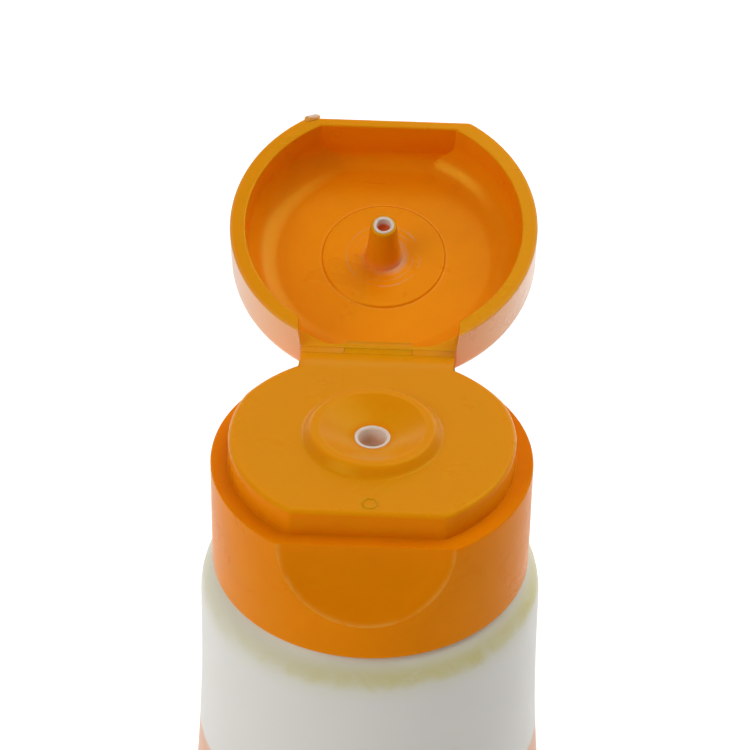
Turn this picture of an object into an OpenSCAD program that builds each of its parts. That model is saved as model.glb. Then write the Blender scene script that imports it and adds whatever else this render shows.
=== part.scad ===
// Squeeze tube of sunscreen with a flip-top cap that is pressed on to its neck.
// The tube stands on its crimped end, the cap is on top and the lid is open.
// X runs along the hinge, +Y points to the hinge at the back, +Z points up.
// The origin is the middle of the crimped edge.

/* [Tube] */
// Diameter of the round end of the sleeve
tube_d = 35; // [33:0.5:40]
// Length of the sleeve from the crimped edge to the shoulder
sleeve_len = 90; // [70:1:120]
// Thickness of the sleeve wall
sleeve_wall = 0.5; // [0.4:0.05:0.7]
// Height of the flat crimped seal
crimp_h = 6; // [4:0.5:9]
// How long the sleeve stays round before it flattens
fullness = 2.3; // [2:0.1:3]
// Share of the flattening that starts at the shoulder
early_flattening = 0.12; // [0.05:0.01:0.2]

/* [Tube head] */
// Radius of the rounded edge where the sleeve turns over the shoulder
shoulder_r = 3; // [1.5:0.1:3.6]
// Angle of the shoulder cone above the level
shoulder_angle = 22; // [12:1:26]
// Thickness of the shoulder cone
shoulder_wall = 1.2; // [0.8:0.1:1.6]
// Diameter of the neck
neck_d = 19; // [16:0.5:20]
// Wall of the neck
neck_wall = 1.3; // [1:0.1:1.6]
// Diameter of the hole in the top of the neck
mouth_d = 8; // [7:0.25:10]
// How far the snap bead stands out from the neck
bead_h = 0.5; // [0.3:0.05:0.6]
// Number of ribs that stop the cap from turning
key_count = 6; // [4:1:8]
// Width of one rib
key_w = 1.2; // [0.8:0.1:2]

/* [Cap base] */
// How far the cap stands in from the side of the round end of the sleeve
cap_inset = 0.8; // [0.4:0.05:1.2]
// Height of the skirt from its lower edge to the ledge
skirt_h = 12.8; // [11.5:0.1:15]
// Thickness of the skirt and deck
cap_wall = 1.3; // [1:0.05:1.4]
// Height of the deck above the ledge
deck_h = 3.05; // [2.8:0.05:3.4]
// Radius of the rounded edge of the deck
deck_edge_r = 0.5; // [0.2:0.05:0.8]
// Depth that the flat on the front takes off the round ledge and lid
front_cut = 2.65; // [2.3:0.05:2.9]
// Radius of the hollow that the finger rests in
scoop_r = 14.9; // [12:0.1:16]
// Radius of the rounded upper edge of the skirt
ledge_edge_r = 0.2; // [0.1:0.05:0.4]
// Length of the ring that grips the neck, below the ledge
grip_len = 6; // [5:0.25:7]

/* [Outlet] */
// Diameter of the outlet hole
outlet_d = 3.4; // [3.2:0.05:3.8]
// Height of the rim of the outlet below the deck
outlet_drop = 0.4; // [0.2:0.05:0.6]
// Radius of the crest of the raised ring round the outlet
crest_r = 6.2; // [5.6:0.1:6.8]
// Height of the crest above the deck
crest_h = 1.05; // [0.6:0.05:1.2]
// Width of the outer slope of the raised ring
crest_foot = 1.3; // [1:0.1:1.6]
// Radius of the edge where the bowl inside the raised ring starts
bowl_edge_r = 5.5; // [4.8:0.1:5.6]
// Wall of the spout under the outlet
spout_wall = 0.9; // [0.7:0.05:1.2]
// Length of the spout below the deck
spout_len = 3.6; // [3.2:0.1:4]

/* [Lid] */
// Height of the lid
lid_h = 7.5; // [7.2:0.1:9]
// Thickness of the lid wall at the rim
lid_wall = 1.68; // [1.5:0.02:1.9]
// Thickness of the lid top
lid_top = 1.1; // [0.9:0.05:1.3]
// Radius of the rounded outer edge of the lid top
lid_edge_r = 2; // [1:0.1:2.2]
// Radius of the hollow corner inside the lid
lid_hollow_r = 3.4; // [2:0.1:3.5]
// Radius of the hollow corner behind the front flat of the lid
lid_panel_r = 1.8; // [1:0.1:2.4]
// Radius of the raised disc in the lid
disc_r = 6.85; // [6:0.05:8]
// Height of the raised disc in the lid
disc_h = 0.2; // [0.08:0.01:0.25]
// Thickness of the wall behind the front flat of the lid
lid_front_wall = 1; // [0.9:0.05:1.2]
// Angle that the lid is open at rest
lid_open = 160.9; // [120:0.1:178]

/* [Sealing pin] */
// Diameter of the tip of the pin
pin_tip_d = 2.9; // [2.5:0.05:3]
// Diameter of the pin where it enters the outlet
pin_seal_d = 3.24; // [3:0.02:3.3]
// Diameter of the foot of the pin
pin_foot_d = 4; // [3.6:0.1:4.6]
// Diameter of the hole in the tip
pin_bore_d = 1.65; // [1.2:0.05:1.8]
// Depth of the hole in the tip
pin_bore_depth = 4.4; // [3:0.1:5]
// Height of the tip of the pin above the ledge when the lid is closed
pin_tip_z = 0.45; // [0.2:0.05:0.8]

/* [Hinge] */
// Depth that the flat on the back takes off the round cap and lid
back_cut = 2.25; // [2.15:0.05:2.4]
// How far the block that carries the hinge ends short of the round side of the cap
hinge_inset = 0.17; // [0.1:0.01:0.5]
// Width of the strap in the middle of the hinge
strap_w = 7.2; // [6:0.1:8]
// Thickness of the strap
strap_t = 0.45; // [0.35:0.05:0.5]
// Thickness of the two hinge films
film_t = 0.3; // [0.2:0.05:0.35]
// Gap that the films bridge when the lid lies flat
film_gap = 0.7; // [0.6:0.05:0.9]
// Height of the hinge edge of the block above the ledge
hinge_edge_z = 2.25; // [2.1:0.05:2.3]
// Gap between the block and the lid above it when closed
hinge_slot = 0.6; // [0.5:0.05:0.7]
// Length of the slope that falls from the deck to the hinge
fall_len = 3.25; // [2.5:0.05:4]
// How much wider the notch in the lid is on each side at the rim than at the hinge
notch_flare = 0.25; // [0:0.05:0.4]

/* [Clearances] */
// Gap under the skirt where the cap sits on the shoulder
seat_gap = 0.15; // [0.1:0.05:0.3]
// Gap between the lid rim and the ledge when closed
seam_gap = 0.1; // [0.05:0.01:0.15]
// Gap round the neck inside the grip ring
grip_gap = 0.06; // [0.04:0.01:0.1]
// Gap between the sealing plug and the mouth of the neck
plug_gap = 0.05; // [0.03:0.01:0.08]
// Gap between the sleeve and the rim of the tube head
rim_gap = 0.03; // [0.02:0.01:0.06]
// Gap on each side of the hinge block in the notch of the lid
notch_gap = 0.15; // [0.1:0.01:0.3]
// Gap round the deck inside the wall of the closed lid
deck_gap = 0.17; // [0.1:0.01:0.4]
// Gap between the flats on the front of the deck and inside the closed lid
flat_gap = 0.45; // [0.15:0.01:0.6]

/* [Hidden] */
round_fn = 96;
small_fn = 48;
cut = 1;
far = 60;
weld = 0.1;
sliver = 0.01;
fine_steps = 3;
edge_steps = 6;
hollow_steps = 12;

// Sleeve: an oval of constant girth that turns from round to flat.
tube_r = tube_d / 2;
girth_power = ln(2) / ln(PI / 2);
crimp_half = sleeve_wall;
sleeve_sides = 64;
sleeve_rings = 22;
curl_steps = 5;
curl_angle = 90 - shoulder_angle;
mouth_gap = 0.08;
round_power = 2;
flat_power = 12;
flat_onset = 40;

// Levels of the cap above the crimped edge.
skirt_z = sleeve_len + seat_gap;
ledge_z = skirt_z + skirt_h;
deck_z = ledge_z + deck_h;
under_ledge_z = ledge_z - cap_wall;
under_deck_z = deck_z - cap_wall;
outlet_z = deck_z - outlet_drop;
spout_end_z = deck_z - spout_len;
grip_end_z = ledge_z - grip_len;

// Tube head: the shoulder cone starts under the turned edge of the sleeve.
rim_arc_r = shoulder_r - sleeve_wall - rim_gap;
rim_center = [tube_r - shoulder_r, sleeve_len - shoulder_r];
cone_start = [rim_center[0] + rim_arc_r * sin(shoulder_angle),
              rim_center[1] + rim_arc_r * cos(shoulder_angle)];
neck_r = neck_d / 2;
neck_foot_z = cone_start[1] + (cone_start[0] - neck_r) * tan(shoulder_angle);
neck_top_gap = 0.25;
neck_top_z = under_deck_z - neck_top_gap - outlet_drop;
neck_plate = 1;
neck_chamfer = 0.6;
rim_skirt = 3;
rim_chamfer = 0.4;
bead_share = 0.55;
bead_z = grip_end_z + grip_len * bead_share;
bead_half = 1.1;
key_reach = 1.2;
key_top_z = grip_end_z + key_reach;
key_out = 1.6;
key_gap = 0.15;
key_sink = 1;

// Cap base.
cap_r = tube_r - cap_inset;
lid_in_r = cap_r - lid_wall;
deck_r = lid_in_r - deck_gap;
front_flat = cap_r - front_cut;
deck_flat = front_flat - lid_front_wall - flat_gap;
back_flat = cap_r - back_cut;
deck_fall_y = back_flat - fall_len;
grip_wall = 1.7;
grip_lead = 0.4;
grip_r = neck_r + grip_gap;
plug_r = mouth_d / 2 - plug_gap;
plug_wall = 0.8;
plug_len = 1.8;
plug_lead = 0.3;
plug_lead_h = 0.5;
crest_steps = 8;
bowl_steps = 12;
bowl_power = 1.4;
block_half = sqrt(pow(cap_r, 2) - pow(back_flat, 2)) - hinge_inset;
block_root = 2;

// Hinge: the pivot lies midway between the two edges that the films join.
pivot_y = back_flat + film_gap / 2;
pivot_z = ledge_z + hinge_edge_z + hinge_slot / 2;
notch_z = ledge_z + hinge_edge_z + hinge_slot;
pad_t = 0.9;
back_wall = 0.45;
film_side_gap = 0.3;
web_sag = 0.03;

// Lid, in its closed place.
rim_z = ledge_z + seam_gap;
lid_top_z = ledge_z + lid_h;
lid_floor_z = lid_top_z - lid_top;
pin_tip_world_z = ledge_z + pin_tip_z;
pin_step = 0.5;
pin_tip_round = 0.15;
pin_seal_h = 0.6;
pin_seal_taper = 0.03;
pin_foot_flare = 0.1;

// The rim of the lid swings forward past the level of the pivot, so the deck is drawn in behind.
// Its back edge is an arc from beside the hinge block to a point on the round edge of the deck.
sweep_gap = 0.15;
sweep_x = block_half + notch_gap + notch_flare;
sweep_y = pivot_y - norm([pivot_y - sqrt(pow(lid_in_r, 2) - pow(sweep_x, 2)), pivot_z - rim_z]) - sweep_gap;
blend_share = 0.91;
blend_x = deck_r * blend_share;
blend_y = sqrt(pow(deck_r, 2) - pow(blend_x, 2));
rear_center_y = (pow(sweep_x, 2) + pow(sweep_y, 2) - pow(blend_x, 2) - pow(blend_y, 2))
    / (2 * (sweep_y - blend_y));
rear_r = norm([sweep_x, sweep_y - rear_center_y]);

// Points on an arc in a profile, from angle a to angle b.
function arc(center, r, a, b, steps) =
    [for (i = [0 : steps]) center + r * [cos(a + (b - a) * i / steps), sin(a + (b - a) * i / steps)]];

// Half the depth of the sleeve, where t runs from 0 at the shoulder to 1 at the crimp.
function half_depth(t) =
    max(crimp_half, tube_r * (1 - early_flattening * t - (1 - early_flattening) * pow(t, fullness)));

// Half the width of an oval with the girth of the round tube and the half depth b.
function half_width(b) = pow(pow(PI / 2 * tube_r, girth_power) - pow(b, girth_power), 1 / girth_power);

// Power of the oval: 2 is an ellipse, and a high one is the even thickness of the welded crimp.
function oval_power(t) = round_power + (flat_power - round_power) * pow(t, flat_onset);

function oval(a, b, z, n, sides) =
    [for (i = [0 : sides - 1])
        let (x = cos(360 * i / sides), y = pow(max(0, 1 - pow(abs(x), n)), 1 / n))
        [a * x, b * y * sign(sin(360 * i / sides)), z]];

function ring_faces(first, second, sides) =
    [for (i = [0 : sides - 1])
        let (j = (i + 1) % sides)
        each [[first + i, second + i, second + j], [first + i, second + j, first + j]]];

function flip(faces) = [for (f = faces) [f[0], f[2], f[1]]];

// Rings of the sleeve from the crimped edge up to the shoulder and over its turned edge.
body_top = sleeve_len - shoulder_r;
body_len = body_top - crimp_h;
function body_t(i) = 1 - i / sleeve_rings;
function body_z(i) = crimp_h + body_len * i / sleeve_rings;
outer_body = [for (i = [0 : sleeve_rings])
    let (b = half_depth(body_t(i))) [half_width(b), b, body_z(i), oval_power(body_t(i))]];
outer_curl = [for (i = [1 : curl_steps])
    let (a = curl_angle * i / curl_steps, r = tube_r - shoulder_r + shoulder_r * cos(a))
    [r, r, body_top + shoulder_r * sin(a), round_power]];
outer_rings = concat([[half_width(crimp_half), crimp_half, 0, flat_power]], outer_body, outer_curl);
inner_curl_r = shoulder_r - sleeve_wall;
inner_body = [for (i = [0 : sleeve_rings])
    let (b = half_depth(body_t(i)))
    [half_width(b) - sleeve_wall, max(b - sleeve_wall, mouth_gap), body_z(i), round_power]];
inner_curl = [for (i = [1 : curl_steps])
    let (a = curl_angle * i / curl_steps, r = tube_r - shoulder_r + inner_curl_r * cos(a))
    [r, r, body_top + inner_curl_r * sin(a), round_power]];
inner_rings = concat(inner_body, inner_curl);

module tube_sleeve() {
    outer_count = len(outer_rings);
    inner_count = len(inner_rings);
    n = sleeve_sides;
    points = concat(
        [for (r = outer_rings) each oval(r[0], r[1], r[2], r[3], n)],
        [for (r = inner_rings) each oval(r[0], r[1], r[2], r[3], n)],
        [[0, 0, 0], [0, 0, inner_rings[0][2]]]);
    inner_first = outer_count * n;
    last = inner_first + inner_count * n;
    faces = concat(
        flip([for (k = [0 : outer_count - 2]) each ring_faces(k * n, (k + 1) * n, n)]),
        [for (k = [0 : inner_count - 2])
            each ring_faces(inner_first + k * n, inner_first + (k + 1) * n, n)],
        flip(ring_faces((outer_count - 1) * n, inner_first + (inner_count - 1) * n, n)),
        [for (i = [0 : n - 1]) [last, i, (i + 1) % n]],
        [for (i = [0 : n - 1]) [last + 1, inner_first + i, inner_first + (i + 1) % n]]);
    color([0.93, 0.92, 0.89]) polyhedron(points, faces, convexity = 6);
}

// Shoulder, neck, snap bead and ribs, moulded in one with a rim inside the sleeve.
module tube_head() {
    rim_r = tube_r - sleeve_wall - rim_gap;
    slope = tan(shoulder_angle);
    lower_cone_z = cone_start[1] - shoulder_wall / cos(shoulder_angle);
    inner_neck_r = neck_r - neck_wall;
    inner_foot_z = lower_cone_z + (cone_start[0] - inner_neck_r) * slope;
    inner_rim_r = rim_r - shoulder_wall;
    inner_rim_z = lower_cone_z + (cone_start[0] - inner_rim_r) * slope;
    profile = concat(
        [[rim_r - rim_chamfer, rim_center[1] - rim_skirt],
         [rim_r, rim_center[1] - rim_skirt + rim_chamfer]],
        arc(rim_center, rim_arc_r, 0, 90 - shoulder_angle, edge_steps),
        [[neck_r, neck_foot_z],
         [neck_r, bead_z - bead_half], [neck_r + bead_h, bead_z],
         [neck_r, bead_z + bead_half],
         [neck_r, neck_top_z - neck_chamfer], [neck_r - neck_chamfer, neck_top_z],
         [mouth_d / 2, neck_top_z], [mouth_d / 2, neck_top_z - neck_plate],
         [inner_neck_r, neck_top_z - neck_plate],
         [inner_neck_r, inner_foot_z], [inner_rim_r, inner_rim_z],
         [inner_rim_r, rim_center[1] - rim_skirt]]);
    color([0.9, 0.89, 0.85]) union() {
        rotate_extrude($fn = round_fn) polygon(profile);
        for (i = [0 : key_count - 1])
            rotate(360 * i / key_count) neck_key();
    }
}

// One upright rib at the foot of the neck.
module neck_key() {
    foot_z = neck_foot_z - key_sink;
    translate([neck_r - weld, -key_w / 2, foot_z])
        cube([key_out + weld, key_w, key_top_z - foot_z]);
}

// Profile of the deck with the raised ring and the bowl round the outlet.
crest_z = deck_z + crest_h;
ring_outer = [for (i = [0 : crest_steps])
    [crest_r + crest_foot * (1 - i / crest_steps), deck_z + crest_h * (1 - cos(180 * i / crest_steps)) / 2]];
bowl_r = outlet_d / 2;
ring_inner = [for (i = [0 : bowl_steps])
    let (t = i / bowl_steps)
    [bowl_edge_r + (bowl_r - bowl_edge_r) * t, outlet_z + (crest_z - outlet_z) * pow(1 - t, bowl_power)]];

// Solid deck, skirt and hinge block, before the hollows are cut.
module cap_form() {
    skirt_profile = concat(
        [[0, skirt_z], [cap_r, skirt_z]],
        arc([cap_r - ledge_edge_r, ledge_z - ledge_edge_r], ledge_edge_r, 0, 90, fine_steps),
        [[0, ledge_z]]);
    deck_profile = concat(
        [[0, ledge_z - cut], [deck_r, ledge_z - cut]],
        arc([deck_r - deck_edge_r, deck_z - deck_edge_r], deck_edge_r, 0, 90, edge_steps),
        ring_outer, ring_inner, [[0, outlet_z]]);
    difference() {
        union() {
            rotate_extrude($fn = round_fn) polygon(skirt_profile);
            difference() {
                intersection() {
                    rotate_extrude($fn = round_fn) polygon(deck_profile);
                    rear_of_deck();
                }
                front_of_deck();
            }
            hinge_block();
        }
        finger_hollow(scoop_r, -front_flat);
        finger_hollow(scoop_r, back_flat);
        back_of_block();
        above_slope();
    }
}

// Round column that draws the back of the deck in, with the same rounded edge.
module rear_of_deck() {
    translate([0, rear_center_y, 0]) rotate_extrude($fn = round_fn) polygon(concat(
        [[0, ledge_z - cut], [rear_r, ledge_z - cut]],
        arc([rear_r - deck_edge_r, deck_z - deck_edge_r], deck_edge_r, 0, 90, edge_steps),
        [[rear_r - deck_edge_r, crest_z + cut], [0, crest_z + cut]]));
}

// What is cut from the deck in front of its flat, with the same rounded edge.
module front_of_deck() {
    edge = concat(
        [[-far, ledge_z], [-deck_flat, ledge_z]],
        arc([-deck_flat + deck_edge_r, deck_z - deck_edge_r], deck_edge_r, 180, 90, edge_steps),
        [[-deck_flat + deck_edge_r, deck_z + cut], [-far, deck_z + cut]]);
    along_x(far) polygon(edge);
}

// Extrudes a profile drawn in Y and Z to both sides of the middle.
module along_x(w) {
    rotate([90, 0, 90]) translate([0, 0, -w / 2]) linear_extrude(height = w) children();
}

// Hollow cut by a lying cylinder, upright at the ledge and running out below it.
module finger_hollow(r, y) {
    translate([-far / 2, y + sign(y) * scoop_r, ledge_z])
        rotate([0, 90, 0]) cylinder(h = far, r = r, $fn = round_fn);
}

module back_of_block() {
    translate([-far / 2, back_flat, ledge_z - sliver]) cube([far, far, far]);
}

// Block behind the deck that carries the hinge.
module hinge_block() {
    block_y = deck_fall_y - block_root;
    translate([-block_half, block_y, ledge_z - cut])
        cube([2 * block_half, back_flat + cut - block_y, deck_h + cut]);
}

// What is cut away above the slope that falls from the deck to the hinge edge.
module above_slope() {
    hinge_z = ledge_z + hinge_edge_z;
    along_x(far) polygon([
        [deck_fall_y, deck_z], [back_flat, hinge_z], [back_flat + 2 * cut, hinge_z],
        [back_flat + 2 * cut, deck_z + cut], [deck_fall_y, deck_z + cut]]);
}

// Everything that is hollow inside the cap, with walls of even thickness.
module cap_hollow() {
    difference() {
        union() {
            translate([0, 0, skirt_z - cut])
                cylinder(h = under_ledge_z - skirt_z + cut, r = cap_r - cap_wall, $fn = round_fn);
            intersection() {
                translate([0, 0, skirt_z])
                    cylinder(h = under_deck_z - skirt_z, r = deck_r - cap_wall, $fn = round_fn);
                translate([0, rear_center_y, skirt_z])
                    cylinder(h = under_deck_z - skirt_z, r = rear_r - cap_wall, $fn = round_fn);
                translate([-far / 2, -deck_flat + cap_wall, skirt_z]) cube([far, far, skirt_h * 2]);
            }
        }
        finger_hollow(scoop_r + cap_wall, -front_flat);
        finger_hollow(scoop_r + cap_wall, back_flat);
    }
}

module cap_base() {
    color([0.82, 0.5, 0.05]) difference() {
        union() {
            difference() {
                cap_form();
                cap_hollow();
            }
            grip_ring();
            plug_ring();
            translate([0, 0, spout_end_z])
                cylinder(h = under_deck_z - spout_end_z + weld, r = outlet_d / 2 + spout_wall, $fn = small_fn);
        }
        translate([0, 0, spout_end_z - cut])
            cylinder(h = spout_len + 2 * cut, d = outlet_d, $fn = small_fn);
    }
}

// Ring that grips the neck, with the groove for its bead and slots for its ribs.
module grip_ring() {
    groove = bead_h + grip_gap;
    top = under_deck_z + weld;
    difference() {
        rotate_extrude($fn = round_fn) polygon([
            [grip_r + grip_lead, grip_end_z], [grip_r + grip_wall, grip_end_z],
            [grip_r + grip_wall, top], [grip_r, top],
            [grip_r, bead_z + bead_half + grip_gap], [grip_r + groove, bead_z],
            [grip_r, bead_z - bead_half - grip_gap], [grip_r, grip_end_z + grip_lead]]);
        for (i = [0 : key_count - 1])
            rotate(360 * i / key_count)
                translate([neck_r, -key_w / 2 - key_gap, grip_end_z - cut])
                    cube([grip_wall * 2, key_w + 2 * key_gap, key_top_z + key_gap - grip_end_z + cut]);
    }
}

// Plug that seals the mouth of the neck.
module plug_ring() {
    end_z = neck_top_z - plug_len;
    rotate_extrude($fn = small_fn) polygon([
        [plug_r - plug_wall, end_z], [plug_r - plug_lead, end_z], [plug_r, end_z + plug_lead_h],
        [plug_r, under_deck_z + weld], [plug_r - plug_wall, under_deck_z + weld]]);
}

// Turns what is drawn closed to the angle a about the hinge.
module swing(a) {
    translate([0, pivot_y, pivot_z]) rotate([-a, 0, 0]) translate([0, -pivot_y, -pivot_z]) children();
}

module lid() {
    color([0.84, 0.46, 0.04]) swing(lid_open) lid_closed();
}

module lid_closed() {
    difference() {
        union() {
            difference() {
                lid_form();
                lid_hollow();
            }
            sealing_pin();
        }
        hinge_notch();
    }
}

module lid_form() {
    profile = concat(
        [[0, rim_z], [cap_r, rim_z]],
        arc([cap_r - lid_edge_r, lid_top_z - lid_edge_r], lid_edge_r, 0, 90, hollow_steps),
        [[0, lid_top_z]]);
    difference() {
        rotate_extrude($fn = round_fn) polygon(profile);
        translate([-far / 2, -far - front_flat, rim_z - cut]) cube([far, far, far]);
        translate([-far / 2, back_flat, rim_z - cut]) cube([far, far, far]);
    }
}

// Inside of the lid: round wall, hollow corner, raised disc and the flats behind the hinge and front.
module lid_hollow() {
    corner = [lid_in_r - lid_hollow_r, lid_floor_z - lid_hollow_r];
    profile = concat(
        [[0, rim_z - cut], [lid_in_r, rim_z - cut]],
        arc(corner, lid_hollow_r, 0, 90, hollow_steps),
        [[disc_r, lid_floor_z], [disc_r - disc_h, lid_floor_z - disc_h], [0, lid_floor_z - disc_h]]);
    panel_y = -front_flat + lid_front_wall;
    flats = concat(
        [[panel_y, rim_z - cut], [back_flat - back_wall, rim_z - cut],
         [back_flat - back_wall, lid_floor_z + cut], [panel_y + lid_panel_r, lid_floor_z + cut]],
        arc([panel_y + lid_panel_r, lid_floor_z - lid_panel_r], lid_panel_r, 90, 180, edge_steps));
    intersection() {
        rotate_extrude($fn = round_fn) polygon(profile);
        difference() {
            along_x(far) polygon(flats);
            translate([-strap_w / 2, back_flat - pad_t, rim_z - 2 * cut]) cube([strap_w, far, far]);
        }
    }
}

// Hollow pin that closes the outlet, tapered from its foot to its tip.
module sealing_pin() {
    foot_z = lid_floor_z + weld;
    seal_z = outlet_z + pin_seal_h;
    step_z = lid_floor_z - disc_h - pin_step;
    pin_r = pin_tip_d / 2;
    seal_r = pin_seal_d / 2;
    foot_r = pin_foot_d / 2;
    difference() {
        rotate_extrude($fn = small_fn) polygon([
            [0, pin_tip_world_z], [pin_r - pin_tip_round, pin_tip_world_z],
            [pin_r, pin_tip_world_z + pin_tip_round],
            [seal_r, outlet_z], [seal_r + pin_seal_taper, seal_z],
            [foot_r, step_z],
            [foot_r + pin_foot_flare, foot_z], [0, foot_z]]);
        translate([0, 0, pin_tip_world_z - cut])
            cylinder(h = pin_bore_depth + cut, d = pin_bore_d, $fn = small_fn);
    }
}

// Gap in the lid wall that clears the hinge block, wider at the rim.
module hinge_notch() {
    half = block_half + notch_gap;
    low_z = rim_z - cut;
    low_half = half + notch_flare * (notch_z - low_z) / (notch_z - rim_z);
    translate([0, deck_fall_y - block_root + far, 0]) rotate([90, 0, 0])
        linear_extrude(height = far) polygon([
            [-low_half, low_z], [low_half, low_z], [half, notch_z], [-half, notch_z]]);
}

// Place of a point of the closed lid when the lid is open at rest.
function opened(p) =
    let (y = p[0] - pivot_y, z = p[1] - pivot_z)
    [pivot_y + y * cos(lid_open) + z * sin(lid_open), pivot_z - y * sin(lid_open) + z * cos(lid_open)];

// Section of a thin web from the hinge edge of the block to that of the lid.
function web_section(t) =
    let (a = [back_flat, ledge_z + hinge_edge_z], b = [back_flat, ledge_z + hinge_edge_z - t],
         c = opened([back_flat, notch_z + t]), d = opened([back_flat, notch_z]))
    [a, b, (b + c) / 2 - [0, web_sag], c, d, (a + d) / 2 - [0, web_sag]];

module hinge_web(from_x, to_x, t) {
    translate([from_x, 0, 0]) rotate([90, 0, 90])
        linear_extrude(height = to_x - from_x) polygon(web_section(t));
}

module film_hinge_left() {
    color([0.9, 0.58, 0.08]) hinge_web(-block_half, -strap_w / 2 - film_side_gap, film_t);
}

module film_hinge_right() {
    color([0.9, 0.58, 0.08]) hinge_web(strap_w / 2 + film_side_gap, block_half, film_t);
}

module snap_strap() {
    color([0.84, 0.52, 0.06]) hinge_web(-strap_w / 2, strap_w / 2, strap_t);
}

tube_sleeve();
tube_head();
cap_base();
lid();
film_hinge_left();
film_hinge_right();
snap_strap();
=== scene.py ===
"""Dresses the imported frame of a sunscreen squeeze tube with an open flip-top cap.

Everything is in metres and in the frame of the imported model: the tube stands on its
crimped edge at the origin, +Z runs up to the cap and +Y points to the hinge.
"""

import math

import bmesh
import bpy
from bpy.props import FloatProperty, FloatVectorProperty, IntProperty, PointerProperty
from mathutils import Matrix, Vector


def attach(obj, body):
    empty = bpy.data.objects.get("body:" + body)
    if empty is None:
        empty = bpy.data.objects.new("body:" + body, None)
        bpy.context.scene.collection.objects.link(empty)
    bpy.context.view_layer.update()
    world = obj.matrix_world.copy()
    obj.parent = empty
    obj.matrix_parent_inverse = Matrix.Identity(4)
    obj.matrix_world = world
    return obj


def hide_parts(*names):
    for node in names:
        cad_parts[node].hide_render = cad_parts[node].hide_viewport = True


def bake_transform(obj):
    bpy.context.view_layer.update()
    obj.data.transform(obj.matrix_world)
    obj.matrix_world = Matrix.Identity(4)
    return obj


bl_info = {
    "name": "Squeeze tube with flip-top cap",
    "version": (1, 0, 0),
    "blender": (4, 5, 0),
    "location": "View3D > Sidebar > Squeeze tube",
    "description": "Builds and finishes a squeeze tube with an open flip-top cap on its packed frame",
    "category": "Object",
}

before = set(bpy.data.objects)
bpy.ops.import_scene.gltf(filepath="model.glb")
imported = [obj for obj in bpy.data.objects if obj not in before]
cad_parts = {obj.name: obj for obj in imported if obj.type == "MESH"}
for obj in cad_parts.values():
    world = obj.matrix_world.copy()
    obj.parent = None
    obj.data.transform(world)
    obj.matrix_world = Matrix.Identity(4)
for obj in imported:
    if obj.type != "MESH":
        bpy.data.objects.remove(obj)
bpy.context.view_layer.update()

MM = 0.001

# Levels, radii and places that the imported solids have, in metres; those of the lid are for the closed lid.
SKIRT_Z = 90.15 * MM
LEDGE_Z = 102.95 * MM
DECK_Z = 106.0 * MM
OUTLET_Z = 105.6 * MM
LID_FLOOR_Z = 109.35 * MM
PIVOT = Vector((0, 14.8, 105.5)) * MM
LID_OPEN = math.radians(160.9)
CAP_R = 16.7 * MM
PLATEAU_R = 14.85 * MM
DECK_CORNER = (7.86 * MM, -12.6 * MM)
SCOOP_R = 14.9 * MM
SCOOP_AXES_Y = (-28.95 * MM, 29.35 * MM)
LID_BORE_R = 15.02 * MM
LID_CORNER = (9.03 * MM, -14.05 * MM)
LID_FILLET_R = 3.4 * MM
PANEL_FILLET_R = 1.8 * MM
PANEL_FILLET_Y = -11.25 * MM
STRAP_X = 3.6 * MM
FILM_X = 8.2 * MM
BLOCK_EDGE = Vector((0, 14.45, 105.2)) * MM
NOTCH_EDGE = Vector((0, 14.45, 105.8)) * MM

# Angle above which the edge between two faces is rounded off, and the widest such edge.
SHARP = math.radians(33)
WIDEST_EDGE = 0.6 * MM

# The sleeve as it was fitted to the photo: the height up to which the round of its shoulder would run,
# and the shares of its rows up to which the seal and the body reach.
SLEEVE_TOP = 91.9 * MM
SEAL_END = 0.07
BODY_END = 0.93


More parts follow.
